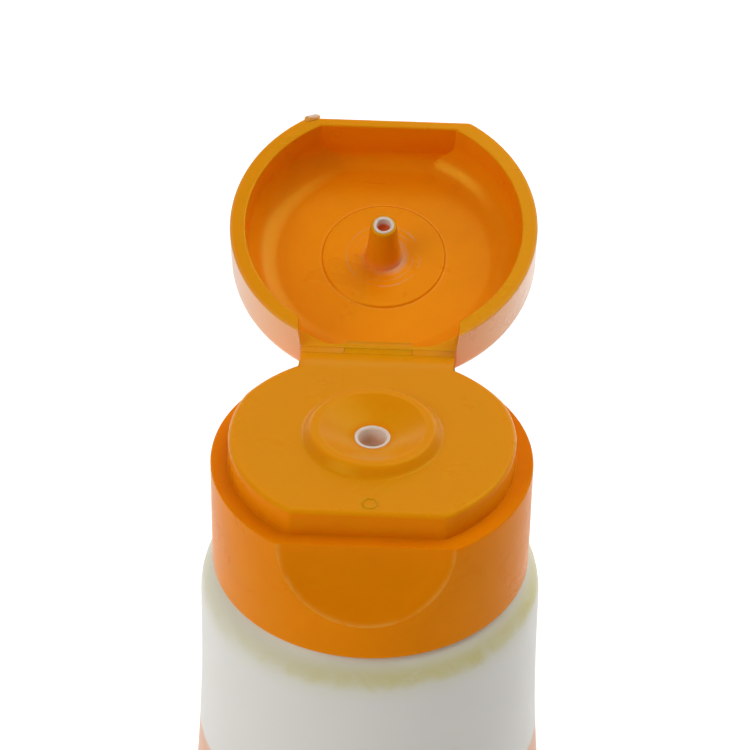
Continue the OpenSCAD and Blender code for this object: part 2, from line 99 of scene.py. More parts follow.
class SleeveSettings(bpy.types.PropertyGroup):
    radius: FloatProperty(
        name="Radius", description="Radius of the round end of the sleeve",
        default=18.0 * MM, unit="LENGTH")
    length: FloatProperty(
        name="Length",
        description="Height up to which the round of the shoulder would run if it went on to the level",
        default=SLEEVE_TOP, unit="LENGTH")
    wall: FloatProperty(
        name="Wall", description="Thickness of the sleeve wall",
        default=0.5 * MM, unit="LENGTH")
    crimp: FloatProperty(
        name="Crimp", description="Height of the flat welded seal",
        default=6 * MM, unit="LENGTH")
    fullness: FloatProperty(
        name="Fullness", description="How long the sleeve stays round before it flattens",
        default=2.6)
    early: FloatProperty(
        name="Early flattening", description="Share of the flattening that starts at the shoulder",
        default=0.06, subtype="FACTOR")
    shoulder: FloatProperty(
        name="Shoulder", description="Radius of the edge that turns over the shoulder",
        default=6.5 * MM, unit="LENGTH")
    turn: FloatProperty(
        name="Turn", description="Angle through which the edge turns over the shoulder",
        default=math.radians(46.6), subtype="ANGLE")
    shrink: FloatProperty(
        name="Shrink", description="Share of its girth that the sleeve loses towards the welded seal",
        default=0.015, subtype="FACTOR")
    dents: FloatProperty(
        name="Dents", description="Depth of the soft dents in the used sleeve",
        default=0.12 * MM, unit="LENGTH")
    around: IntProperty(
        name="Around", description="Number of faces round the sleeve",
        default=192)
    along: IntProperty(
        name="Along", description="Number of rows from the crimp up the outside and down the inside",
        default=240)
    rib_pitch: FloatProperty(
        name="Rib pitch", description="Distance between two ribs of the crimp",
        default=1.0 * MM, unit="LENGTH")
    rib_radius: FloatProperty(
        name="Rib radius", description="Radius of one rib of the crimp",
        default=0.16 * MM, unit="LENGTH")
    rib_count: IntProperty(
        name="Ribs", description="Number of ribs on each face of the crimp",
        default=49)
    white: FloatVectorProperty(
        name="White", description="Colour of the sleeve",
        default=(0.83, 0.80, 0.73), subtype="COLOR")
    band: FloatVectorProperty(
        name="Band", description="Colour of the soft printed band under the cap",
        default=(0.68, 0.60, 0.22), subtype="COLOR")
    tint: FloatVectorProperty(
        name="Top tint", description="Colour that the white turns to under the cap",
        default=(0.80, 0.77, 0.60), subtype="COLOR")
    peach: FloatVectorProperty(
        name="Peach", description="Colour of the printed field of the lower sleeve",
        default=(0.85, 0.40, 0.21), subtype="COLOR")


class CapSettings(bpy.types.PropertyGroup):
    orange: FloatVectorProperty(
        name="Orange", description="Colour of the cap plastic",
        default=(0.91, 0.25, 0.001), subtype="COLOR")
    # The lid orange is the same plastic as the cap orange, set lighter and yellower to brighten the shaded
    # inside of the lid: a lit copy of the cap orange.
    lid_orange: FloatVectorProperty(
        name="Lid orange", description="Colour of the lid plastic",
        default=(0.93, 0.295, 0.001), subtype="COLOR")
    film: FloatVectorProperty(
        name="Film", description="Colour of the thin hinge films, which let light through",
        default=(0.84, 0.30, 0.002), subtype="COLOR")
    # Painted light: this lighter, yellower orange stands in for the reflection of the soft light above on the
    # flat top faces of cap and lid, on the pin and on the strap.
    lit_orange: FloatVectorProperty(
        name="Flat orange", description="Colour of the polished flat faces of cap and lid",
        default=(0.88, 0.32, 0.002), subtype="COLOR")
    veil: FloatVectorProperty(
        name="Veil", description="Colour of the reflections that look straight down on the orange",
        default=(0.85, 1.0, 0.08), subtype="COLOR")
    # Painted highlight: this pale orange lights the lip of the ring in the lid and, together with some
    # rubbing, the edges of the finger scoops.
    edge_highlight: FloatVectorProperty(
        name="Worn", description="Colour of rubbed edges",
        default=(0.95, 0.43, 0.07), subtype="COLOR")
    mark_radius: FloatProperty(
        name="Mark radius", description="Radius of the small raised ring on the deck",
        default=0.75 * MM, unit="LENGTH")


class CreamSettings(bpy.types.PropertyGroup):
    colour: FloatVectorProperty(
        name="Cream", description="Colour of the dried cream",
        default=(0.86, 0.76, 0.68), subtype="COLOR")
    # Painted shade: the cream turns to this darker colour down the narrow bore of the outlet.
    deep: FloatVectorProperty(
        name="Cream in the bore", description="Colour of the cream down in the outlet",
        default=(0.72, 0.42, 0.26), subtype="COLOR")
    glow: FloatVectorProperty(
        name="Glow in the pin",
        description="Colour down in the hole of the pin, where the orange shows through",
        default=(0.82, 0.20, 0.05), subtype="COLOR")
    thin: FloatVectorProperty(
        name="Thin cream", description="Colour of a thin dried film of cream on the orange",
        default=(0.80, 0.42, 0.24), subtype="COLOR")
    nub: FloatProperty(
        name="Nub", description="Half the length of the crumb of dried cream on the corner of the lid",
        default=0.85 * MM, unit="LENGTH")
    stain: FloatVectorProperty(
        name="Stain", description="Colour of the lower side of the crumb, which the orange shows through",
        default=(0.86, 0.36, 0.03), subtype="COLOR")


class StageSettings(bpy.types.PropertyGroup):
    floor: FloatVectorProperty(
        name="Floor", description="Colour of the floor",
        default=(0.93, 0.93, 0.93), subtype="COLOR")
    top: FloatProperty(
        name="Top light", description="Power of the large soft light above at the left, in watts",
        default=3.3)
    back: FloatProperty(
        name="Back light", description="Power of the soft light behind at the right, in watts",
        default=4.3)
    glow: FloatProperty(
        name="Backdrop glow", description="Power of the light that the white backdrop throws back, in watts",
        default=2.5)
    sky: FloatProperty(
        name="Sky", description="Strength of the even light from all round",
        default=0.26)
    azimuth: FloatProperty(
        name="Azimuth", description="Turn of the camera round the tube, to the right of the front",
        default=math.radians(1.73), subtype="ANGLE")
    elevation: FloatProperty(
        name="Elevation", description="Height of the camera above the level",
        default=math.radians(38.1886), subtype="ANGLE")
    roll: FloatProperty(
        name="Roll", description="Turn of the camera about its line of sight",
        default=math.radians(0.9454), subtype="ANGLE")
    distance: FloatProperty(
        name="Distance", description="Distance of the camera from the point it looks at",
        default=369.222 * MM, unit="LENGTH")
    lens: FloatProperty(
        name="Lens", description="Focal length of the camera",
        default=151.731, unit="CAMERA")


class Graph:
    """Adds nodes to a tree and joins them, so that a formula reads as one line."""

    def __init__(self, tree):
        self.tree = tree

    def put(self, socket, value):
        """Joins a socket to another one, or sets its value."""
        if isinstance(value, bpy.types.NodeSocket):
            self.tree.links.new(value, socket)
        elif value is not None:
            socket.default_value = value

    def node(self, kind, *values, **settings):
        """A node with these settings and these values in its first inputs."""
        new = self.tree.nodes.new(kind)
        for key, value in settings.items():
            setattr(new, key, value)
        for at, value in enumerate(values):
            self.put(new.inputs[at], value)
        return new

    def fed(self, kind, sockets, **settings):
        """A node whose inputs are given by name."""
        new = self.node(kind, **settings)
        for key, value in sockets.items():
            self.put(new.inputs[key], value)
        return new

    def math(self, kind, a, b=None):
        return self.node("ShaderNodeMath", a, b, operation=kind).outputs[0]

    def add(self, a, b):
        return self.math("ADD", a, b)

    def sub(self, a, b):
        return self.math("SUBTRACT", a, b)

    def mul(self, a, b):
        return self.math("MULTIPLY", a, b)

    def div(self, a, b):
        return self.math("DIVIDE", a, b)

    def power(self, a, b):
        return self.math("POWER", a, b)

    def most(self, a, b):
        return self.math("MAXIMUM", a, b)

    def bare(self, a):
        return self.math("ABSOLUTE", a)

    def length(self, a, b):
        return self.math("SQRT", self.add(self.mul(a, a), self.mul(b, b)))

    def span(self, value, low, high, to_low=0.0, to_high=1.0, smooth=False):
        """The value moved from one range to another and kept inside it."""
        return self.node(
            "ShaderNodeMapRange", value, low, high, to_low, to_high,
            interpolation_type="SMOOTHSTEP" if smooth else "LINEAR", clamp=True).outputs[0]

    def near(self, value, at, width):
        """1 where a value is at this number, falling to 0 this far from it on both sides."""
        return self.span(self.bare(self.sub(value, at)), 0.0, width, 1.0, 0.0, True)

    def blend(self, share, first, second):
        made = self.node("ShaderNodeMix", data_type="RGBA")
        self.put(made.inputs["Factor"], share)
        self.put(made.inputs[6], first)
        self.put(made.inputs[7], second)
        return made.outputs[2]

    def parts(self, vector):
        return self.node("ShaderNodeSeparateXYZ", vector).outputs

    def joined(self, x, y, z):
        return self.node("ShaderNodeCombineXYZ", x, y, z).outputs[0]


def rgba(colour, factor=1.0):
    """A colour of three numbers, made darker by a factor, with full cover."""
    return tuple(factor * part for part in colour) + (1,)


def shape_tree(name, numbers, wholes):
    """A Geometry Nodes tree with these named inputs, and its graph, input sockets and output node."""
    tree = bpy.data.node_groups.new(name, "GeometryNodeTree")
    for kind, labels in (("Float", numbers), ("Int", wholes), ("Material", ("Material",))):
        for label in labels:
            tree.interface.new_socket(label, in_out="INPUT", socket_type="NodeSocket" + kind)
    tree.interface.new_socket("Geometry", in_out="OUTPUT", socket_type="NodeSocketGeometry")
    start = tree.nodes.new("NodeGroupInput")
    end = tree.nodes.new("NodeGroupOutput")
    return tree, Graph(tree), start.outputs, end


def close_tree(g, geometry, given, end):
    """Ends a tree in real geometry that has its material."""
    real = g.node("GeometryNodeRealizeInstances", geometry)
    dressed = g.fed("GeometryNodeSetMaterial", {"Geometry": real.outputs[0], "Material": given["Material"]})
    g.put(end.inputs[0], dressed.outputs[0])


def grown(name, tree, values):
    """The plain mesh object that a Geometry Nodes tree makes from these input values."""
    piece = bpy.data.objects.new(name, bpy.data.meshes.new(name))
    bpy.context.scene.collection.objects.link(piece)
    live = piece.modifiers.new("shape", "NODES")
    live.node_group = tree
    for item in tree.interface.items_tree:
        if item.item_type == "SOCKET" and item.in_out == "INPUT" and item.name in values:
            live[item.identifier] = values[item.name]
    return settled(piece)


def settled(piece):
    """Turns a piece's modifiers into its plain mesh."""
    bpy.context.view_layer.update()
    view = bpy.context.evaluated_depsgraph_get()
    made = bpy.data.meshes.new_from_object(
        piece.evaluated_get(view), preserve_all_data_layers=True, depsgraph=view)
    piece.modifiers.clear()
    made.name = piece.name
    piece.data = made
    if not made.polygons:
        raise RuntimeError(f"{piece.name} came out empty")
    return piece


def smooth_faces(piece, angle=35):
    mesh = piece.data
    mesh.polygons.foreach_set("use_smooth", [True] * len(mesh.polygons))
    mesh.set_sharp_from_angle(angle=math.radians(angle))
    mesh.update()


def mesh_piece(name, points, faces):
    mesh = bpy.data.meshes.new(name)
    mesh.from_pydata([tuple(p) for p in points], [], faces)
    mesh.validate()
    piece = bpy.data.objects.new(name, mesh)
    bpy.context.scene.collection.objects.link(piece)
    return piece


def paint(piece, material):
    piece.data.materials.clear()
    piece.data.materials.append(material)


def opened(point):
    """Place at rest of a point that is given in the closed lid."""
    offset = Vector(point) - PIVOT
    return PIVOT + Matrix.Rotation(-LID_OPEN, 3, "X") @ offset


def finish_base(name, roughness, ior_level, subsurface, radius, scale):
    """A material with one main shader and the piece's own coordinates."""
    material = bpy.data.materials.new(name)
    material.use_nodes = True
    tree = material.node_tree
    shader = tree.nodes["Principled BSDF"]
    shader.inputs["Roughness"].default_value = roughness
    shader.inputs["Specular IOR Level"].default_value = ior_level
    shader.inputs["Subsurface Weight"].default_value = subsurface
    shader.inputs["Subsurface Radius"].default_value = radius
    shader.inputs["Subsurface Scale"].default_value = scale
    graph = Graph(tree)
    place = graph.node("ShaderNodeTexCoord").outputs["Object"]
    return material, graph, shader, place


def noise(graph, place, scale, detail=3.0, roughness=0.55, distortion=0.0):
    return graph.fed("ShaderNodeTexNoise", {
        "Vector": place, "Scale": scale, "Detail": detail, "Roughness": roughness,
        "Distortion": distortion}).outputs["Fac"]


def scratches(graph, place, scale, stretch, turn, low):
    """Fine straight scratches: a noise pulled out along one direction, of which only the peaks count."""
    pulled = graph.fed("ShaderNodeMapping", {"Vector": place, "Rotation": turn, "Scale": stretch})
    return graph.span(noise(graph, pulled.outputs[0], scale, 2.0, 0.6), low, low + 0.1)


def bump(graph, shader, parts):
    """Adds up height fields, each with its height in metres, into one bump."""
    total = None
    for field, height in parts:
        scaled = graph.mul(field, height)
        total = scaled if total is None else graph.add(total, scaled)
    made = graph.fed("ShaderNodeBump", {"Strength": 1.0, "Distance": 1.0, "Height": total})
    graph.put(shader.inputs["Normal"], made.outputs[0])


def orange_plastic(name, colour, sizes, wear=1.0, marks=None, level=0.05):
    """Satin moulded polypropylene with flow clouds, moulding grain, fine scratches and rubbed spots.

    marks gives the tone with this piece's own wear, residue and painted light on it.
    """
    material, graph, shader, place = finish_base(name, 0.3, level, 0.35, (1.0, 0.25, 0.03), 2.5 * MM)
    shader.inputs["Specular Tint"].default_value = rgba(sizes.veil)
    clouds = noise(graph, place, 130, 3.0, 0.6, 0.8)
    streaks = scratches(graph, place, 420, (1.0, 0.08, 0.35), (0.4, 0.2, 0.7), 0.62)
    cross = scratches(graph, place, 560, (0.07, 1.0, 0.3), (0.1, 0.5, 0.2), 0.64)
    grain = noise(graph, place, 5200, 2.0, 0.6)
    rubbed = graph.span(noise(graph, place, 300, 4.0, 0.65), 0.55, 0.8)
    deep = rgba(colour, 0.97)
    light = (min(1, colour[0] * 1.03), colour[1] * 1.05, colour[2], 1)
    tone = graph.blend(graph.span(clouds, 0.3, 0.7), deep, light)
    pale = (min(1, colour[0] * 1.12), min(1, colour[1] * 1.6), colour[2] + 0.01, 1)
    tone = graph.blend(graph.mul(rubbed, 0.05 * wear), tone, pale)
    tone = graph.blend(graph.mul(graph.most(streaks, cross), 0.025 * wear), tone, pale)
    if marks:
        tone = marks(graph, shader, place, tone)
    graph.put(shader.inputs["Base Color"], tone)
    gloss = graph.span(clouds, 0.25, 0.75, 0.26, 0.31)
    gloss = graph.add(gloss, graph.mul(rubbed, 0.015 * wear))
    graph.put(shader.inputs["Roughness"], gloss)
    bump(graph, shader, [(grain, 0.0014 * MM), (clouds, 0.004 * MM)])
    return material


def cap_wear_and_painted_light(sizes):
    """Pale, slightly broken line where the finger hollows cut the skirt, a painted highlight with some
    rubbing, and the lit orange painted on the flat deck as a painted reflection, where the deck is also
    glossier.
    """

    def marks(graph, shader, place, tone):
        x, y, z = graph.parts(place)
        # Painted reflection of the light above: the flat deck and the slope by the hinge take the lighter lit
        # orange, and the deck is also glossier.
        flat = graph.span(z, DECK_Z - 0.45 * MM, DECK_Z - 0.15 * MM, 0.0, 1.0, True)
        slope = graph.mul(
            graph.span(y, 10.6 * MM, 11.3 * MM), graph.span(z, DECK_Z - 1.2 * MM, DECK_Z - 0.9 * MM))
        tone = graph.blend(graph.mul(graph.most(flat, slope), 0.9), tone, rgba(sizes.lit_orange))
        graph.put(shader.inputs["Specular IOR Level"], graph.span(flat, 0.0, 1.0, 0.05, 0.25))
        around = graph.length(x, y)
        ragged = graph.mul(graph.sub(noise(graph, place, 900, 3.0, 0.7), 0.5), 0.16 * MM)
        broken = graph.span(noise(graph, place, 420, 3.0, 0.6), 0.36, 0.56, 0.25, 1.0)
        upright = graph.sub(z, LEDGE_Z)
        # Painted highlight, with some rubbing, along the edges where the finger scoops cut the skirt.
        for axis_y in SCOOP_AXES_Y:
            out = graph.length(graph.sub(y, axis_y), upright)
            edge = graph.near(graph.add(out, ragged), SCOOP_R, 0.1 * MM)
            edge = graph.mul(edge, graph.near(around, CAP_R, 0.3 * MM))
            tone = graph.blend(graph.mul(edge, graph.mul(broken, 0.55)), tone, rgba(sizes.edge_highlight))
        return tone

    return marks


def lid_residue_and_painted_light(sizes, cream):
    """Thin dried cream round the foot of the pin and in faint rings on the disc; painted light: the lit
    orange on the rim, notch, pad and pin, painted shade in the groove round the disc and a painted highlight
    on its lip; and sheen on the outer wall.
    """

    def marks(graph, shader, place, tone):
        closed = graph.fed("ShaderNodeVectorRotate", {
            "Vector": place, "Center": tuple(PIVOT), "Angle": LID_OPEN}, rotation_type="X_AXIS")
        x, y, z = graph.parts(closed.outputs[0])
        side, around = graph.bare(x), graph.length(x, y)

        # Painted light: the rim, the notch, the hinge pad and the pin take the lighter lit orange, which
        # stands in for the light above.
        rim = graph.span(z, LEDGE_Z + 0.15 * MM, LEDGE_Z + 0.4 * MM, 1.0, 0.0, True)
        notch = graph.span(z, LEDGE_Z + 2.9 * MM, LEDGE_Z + 3.4 * MM, 1.0, 0.0)
        notch = graph.mul(graph.span(y, 11.6 * MM, 12.4 * MM), notch)
        notch = graph.mul(notch, graph.span(side, 8.62 * MM, 8.7 * MM, 1.0, 0.0))
        pad = graph.mul(
            graph.span(y, 13.5 * MM, 13.6 * MM), graph.span(side, STRAP_X, STRAP_X + 0.1 * MM, 1.0, 0.0))
        pin = graph.span(around, 1.9 * MM, 2.1 * MM, 0.9, 0.0)
        flat = graph.most(graph.most(rim, graph.most(notch, pad)), pin)
        tone = graph.blend(graph.mul(flat, 0.9), tone, rgba(sizes.lit_orange))

        # Painted shade in the groove round the disc, and a painted highlight on its lip.
        groove = graph.mul(graph.near(around, 6.76 * MM, 0.11 * MM), 0.45)
        tone = graph.blend(groove, tone, rgba(sizes.lid_orange, 0.62))
        lip = graph.mul(graph.near(around, 6.97 * MM, 0.12 * MM), 0.4)
        tone = graph.blend(lip, tone, rgba(sizes.edge_highlight))

        patches = noise(graph, place, 330, 4.0, 0.65, 0.6)
        floor = graph.mul(
            graph.span(z, LEDGE_Z + 5.0 * MM, LEDGE_Z + 5.9 * MM),
            graph.span(z, LID_FLOOR_Z + 0.2 * MM, LID_FLOOR_Z + 0.5 * MM, 1.0, 0.0))
        foot = graph.span(around, 2.2 * MM, 3.0 * MM, 1.0, 0.0, True)
        foot = graph.mul(foot, graph.span(x, -1.2 * MM, 1.6 * MM, 0.15, 1.0, True))
        foot = graph.mul(foot, graph.span(patches, 0.36, 0.56, 0.25, 0.95))
        ring = graph.most(
            graph.near(around, 4.05 * MM, 0.16 * MM), graph.mul(graph.near(around, 3.3 * MM, 0.12 * MM), 0.7))
        ring = graph.mul(ring, graph.span(patches, 0.42, 0.62, 0.0, 0.75))
        ring = graph.mul(ring, graph.span(x, -2.8 * MM, 1.5 * MM, 0.45, 1.0, True))
        tone = graph.blend(graph.mul(graph.most(foot, ring), floor), tone, rgba(cream.thin))

        # Sheen on the outer wall, stronger towards the hinge, stands in for the pale grazing reflection of
        # the white floor.
        outside = graph.span(around, CAP_R - 0.4 * MM, CAP_R - 0.2 * MM)
        grazing_sheen = graph.mul(outside, graph.span(y, -10.0 * MM, 0.0, 0.1, 0.95, True))
        graph.put(shader.inputs["Sheen Weight"], grazing_sheen)
        return tone

    return marks


def film_plastic(name, colour):
    """The same plastic where it is so thin and so often bent that it turns pale."""
    material, graph, shader, place = finish_base(name, 0.36, 0.15, 0.05, (1.0, 0.35, 0.03), 0.6 * MM)
    lines = scratches(graph, place, 900, (0.05, 1.0, 1.0), (0, 0, 0), 0.5)
    clouds = noise(graph, place, 900, 3.0, 0.6)
    bright = (min(1, colour[0] * 1.03), min(1, colour[1] * 1.08), colour[2] + 0.003, 1)
    tone = graph.blend(graph.span(clouds, 0.35, 0.7), rgba(colour), bright)
    graph.put(shader.inputs["Base Color"], tone)
    graph.put(shader.inputs["Roughness"], graph.span(clouds, 0.3, 0.7, 0.3, 0.45))
    bump(graph, shader, [(lines, 0.004 * MM), (clouds, 0.006 * MM)])
    return material


def sleeve_film(name, sizes):
    """White polyethylene with a soft yellow-green band under the cap and a peach field below."""
    material, graph, shader, place = finish_base(name, 0.38, 0.4, 0.22, (1.0, 0.85, 0.7), 1.5 * MM)
    across, _, height = graph.parts(place)
    clouds = noise(graph, place, 45, 3.0, 0.6, 0.5)
    patches = noise(graph, place, 210, 4.0, 0.62, 1.0)
    grain = noise(graph, place, 2600, 2.0, 0.6)
    white = rgba(sizes.white)
    shade = rgba(sizes.white, 0.965)
    tone = graph.blend(graph.span(clouds, 0.3, 0.7), white, shade)
    wavy = graph.add(height, graph.mul(graph.sub(patches, 0.5), 1.6 * MM))
    tinted = graph.span(wavy, SKIRT_Z - 6.0 * MM, SKIRT_Z - 2.0 * MM, 0, 0.8, True)
    tone = graph.blend(tinted, tone, rgba(sizes.tint))
    rise = graph.span(wavy, SKIRT_Z - 3.9 * MM, SKIRT_Z - 2.4 * MM, 0, 1, True)
    fall = graph.span(wavy, SKIRT_Z - 2.0 * MM, SKIRT_Z - 0.4 * MM, 1, 0, True)
    strength = graph.mul(graph.mul(rise, fall), graph.span(patches, 0.3, 0.7, 0.35, 0.95))
    strength = graph.mul(strength, graph.span(across, -15 * MM, 2 * MM, 0.3, 1.0, True))
    tone = graph.blend(strength, tone, rgba(sizes.band))
    uneven = graph.add(height, graph.mul(graph.sub(clouds, 0.5), 0.8 * MM))
    ink = graph.span(uneven, 66.2 * MM, 67.3 * MM, 0.9, 0, True)
    tone = graph.blend(ink, tone, rgba(sizes.peach))
    graph.put(shader.inputs["Base Color"], tone)
    graph.put(shader.inputs["Roughness"], graph.span(patches, 0.3, 0.7, 0.33, 0.44))
    drawn = scratches(graph, place, 700, (1.0, 1.0, 0.03), (0, 0, 0), 0.45)
    bump(graph, shader, [(clouds, 0.05 * MM), (grain, 0.0015 * MM), (drawn, 0.0012 * MM)])
    return material


def head_plastic(name):
    """Milky polyethylene of the tube head."""
    material, graph, shader, place = finish_base(name, 0.45, 0.35, 0.3, (1.0, 0.9, 0.8), 2 * MM)
    clouds = noise(graph, place, 150, 3.0, 0.6)
    tone = graph.blend(graph.span(clouds, 0.3, 0.7), (0.78, 0.77, 0.72, 1), (0.72, 0.71, 0.66, 1))
    graph.put(shader.inputs["Base Color"], tone)
    bump(graph, shader, [(noise(graph, place, 2500, 2.0, 0.6), 0.002 * MM), (clouds, 0.02 * MM)])
    return material


def dried_cream(name, sizes, roughness=0.4, depth=None, deep=None):
    """Off-white cream with soft lumps; depth gives the levels between which it turns to the deep colour."""
    material, graph, shader, place = finish_base(name, roughness, 0.45, 0.25, (1.0, 0.8, 0.65), 0.5 * MM)
    colour = sizes.colour
    lumps = noise(graph, place, 1500, 4.0, 0.65, 0.6)
    warm = (min(1, colour[0] * 1.02), colour[1] * 0.84, colour[2] * 0.72, 1)
    tone = graph.blend(graph.span(lumps, 0.35, 0.7, 0, 0.8), rgba(colour), warm)
    if depth:
        z = graph.parts(place)[2]
        tone = graph.blend(graph.span(z, *depth, 1.0, 0.0, True), tone, rgba(deep or sizes.deep))
    graph.put(shader.inputs["Base Color"], tone)
    graph.put(shader.inputs["Roughness"], graph.span(lumps, 0.3, 0.7, roughness - 0.1, roughness + 0.12))
    bump(graph, shader, [(lumps, 0.05 * MM)])
    return material


def sleeve_tree():
    """The sleeve by its rule: a section of even girth that turns from round to flat, with an inner wall.

    A grid is bent into a tube: its rows run from the seal up the outside and down again inside the wall.
    """
    tree, g, given, end = shape_tree("sleeve rule", (
        "Radius", "Length", "Wall", "Crimp", "Fullness", "Early flattening", "Shoulder", "Turn", "Shrink",
        "Dents"), ("Around", "Along"))
    rows = g.sub(given["Along"], 1)
    grid = g.node("GeometryNodeMeshGrid", 1.0, 1.0, g.add(given["Around"], 1), given["Along"])
    where = g.parts(g.node("GeometryNodeInputPosition").outputs[0])
    around = g.mul(g.add(where[0], 0.5), 2 * math.pi)
    along = g.add(where[1], 0.5)
    inside = g.math("GREATER_THAN", along, 0.5)
    way = g.sub(1.0, g.bare(g.sub(g.mul(along, 2.0), 1.0)))

    body_top = g.sub(given["Length"], given["Shoulder"])
    body_length = g.sub(body_top, given["Crimp"])
    seal = g.most(g.span(way, g.div(2.0, rows), SEAL_END), inside)
    body = g.span(way, SEAL_END, BODY_END)
    turn = g.mul(g.span(way, BODY_END, 1.0), given["Turn"])
    height = g.add(g.mul(seal, given["Crimp"]), g.mul(body, body_length))

    t = g.div(g.sub(body_top, height), body_length)
    t = g.most(g.math("MINIMUM", t, 1.0), 0.0)
    early = g.mul(t, given["Early flattening"])
    late = g.mul(g.power(t, given["Fullness"]), g.sub(1.0, given["Early flattening"]))
    depth = g.most(given["Wall"], g.mul(given["Radius"], g.sub(1.0, g.add(early, late))))
    girth = g.math("LOGARITHM", 2.0, math.pi / 2)
    drawn = g.sub(1.0, g.mul(t, given["Shrink"]))
    quarter = g.power(g.mul(g.mul(given["Radius"], math.pi / 2), drawn), girth)
    width = g.power(g.sub(quarter, g.power(depth, girth)), g.div(1.0, girth))

    gone = g.mul(inside, given["Wall"])
    arc = g.sub(given["Shoulder"], gone)
    drawn_in = g.mul(arc, g.sub(1.0, g.math("COSINE", turn)))
    width = g.sub(g.sub(width, gone), drawn_in)
    depth = g.sub(g.most(g.sub(depth, gone), 0.04 * MM), drawn_in)
    height = g.add(height, g.mul(arc, g.math("SINE", turn)))
    closed_ends = g.add(g.math("LESS_THAN", along, 0.0001), g.math("GREATER_THAN", along, 0.9999))
    depth = g.mul(depth, g.sub(1.0, closed_ends))

    power = g.add(2.0, g.mul(g.power(t, 40.0), g.mul(10.0, g.sub(1.0, inside))))
    across = g.math("COSINE", around)
    rest = g.most(g.sub(1.0, g.power(g.bare(across), power)), 0.0)
    side = g.math("SIGN", g.math("ROUND", g.mul(g.math("SINE", around), 10000.0)))
    out = g.mul(side, g.power(rest, g.div(1.0, power)))

    spot = g.joined(g.mul(width, across), g.mul(depth, out), height)
    lumps = g.fed("ShaderNodeTexNoise", {"Vector": spot, "Scale": 55.0, "Detail": 1.0}).outputs[0]
    dent = g.mul(g.span(lumps, 0.35, 0.75), given["Dents"])
    dent = g.mul(dent, g.mul(g.span(t, 0.02, 0.25, 0.0, 1.0, True), g.span(t, 0.8, 0.97, 1.0, 0.0, True)))
    x = g.mul(g.sub(width, dent), across)
    y = g.mul(g.sub(depth, g.mul(dent, g.span(depth, 0.0, 2 * MM))), out)
    moved = g.fed("GeometryNodeSetPosition", {
        "Geometry": grid.outputs[0], "Position": g.joined(x, y, height)})
    merged = g.fed("GeometryNodeMergeByDistance", {"Geometry": moved.outputs[0], "Distance": 0.002 * MM})
    close_tree(g, merged.outputs[0], given, end)
    return tree


def rib_tree():
    """Half-round upright ribs, side by side on both faces of the crimped seal."""
    tree, g, given, end = shape_tree(
        "crimp ribs", ("Rib pitch", "Rib radius", "Crimp", "Half thickness"), ("Ribs",))
    bar = g.fed("GeometryNodeMeshCylinder", {
        "Vertices": 10, "Side Segments": 1, "Radius": given["Rib radius"],
        "Depth": g.mul(given["Crimp"], 0.82)}, fill_type="TRIANGLE_FAN")
    half_row = g.mul(g.mul(g.sub(given["Ribs"], 1), given["Rib pitch"]), -0.5)
    both = g.node("GeometryNodeJoinGeometry")
    for side in (1.0, -1.0):
        out = g.mul(g.sub(given["Half thickness"], g.mul(given["Rib radius"], 0.45)), side)
        row = g.fed("GeometryNodeMeshLine", {
            "Count": given["Ribs"], "Start Location": g.joined(half_row, out, g.mul(given["Crimp"], 0.5)),
            "Offset": g.joined(given["Rib pitch"], 0.0, 0.0)}, mode="OFFSET", count_mode="TOTAL")
        stood = g.fed("GeometryNodeInstanceOnPoints", {"Points": row.outputs[0], "Instance": bar.outputs[0]})
        g.put(both.inputs[0], stood.outputs[0])
    close_tree(g, both.outputs[0], given, end)
    return tree


class TUBE_OT_sleeve(bpy.types.Operator):
    """Grow the sleeve from its rule, with its wall, dents and crimp ribs"""

    bl_idname = "squeeze_tube.sleeve"
    bl_label = "Sleeve"

    def execute(self, context):
        sizes = context.scene.sleeve_settings
        film = sleeve_film("white sleeve", sizes)
        skin = grown("sleeve_skin", sleeve_tree(), {
            "Radius": sizes.radius, "Length": sizes.length, "Wall": sizes.wall, "Crimp": sizes.crimp,
            "Fullness": sizes.fullness, "Early flattening": sizes.early, "Shoulder": sizes.shoulder,
            "Turn": sizes.turn, "Shrink": sizes.shrink, "Dents": sizes.dents, "Around": sizes.around,
            "Along": sizes.along, "Material": film})
        outward(skin)
        smooth_faces(skin, 50)
        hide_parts("tube_sleeve")
        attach(skin, "tube")
        ribs = grown("crimp_ribs", rib_tree(), {
            "Ribs": sizes.rib_count, "Rib pitch": sizes.rib_pitch, "Rib radius": sizes.rib_radius,
            "Crimp": sizes.crimp, "Half thickness": sizes.wall, "Material": film})
        smooth_faces(ribs, 50)
        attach(ribs, "tube")
        return {"FINISHED"}


def outward(piece):
    """Turns all faces of a closed mesh with one shell outwards."""
    shell = bmesh.new()
    shell.from_mesh(piece.data)
    bmesh.ops.recalc_face_normals(shell, faces=shell.faces)
    if shell.calc_volume(signed=True) < 0:
        bmesh.ops.reverse_faces(shell, faces=shell.faces)
    shell.to_mesh(piece.data)
    shell.free()


def at_corner(point, corner, reach):
    """Whether a point is on one of the two upright edges between the flat front and the round."""
    return abs(point.y - corner[1]) < 0.06 * MM and abs(abs(point.x) - corner[0]) < reach


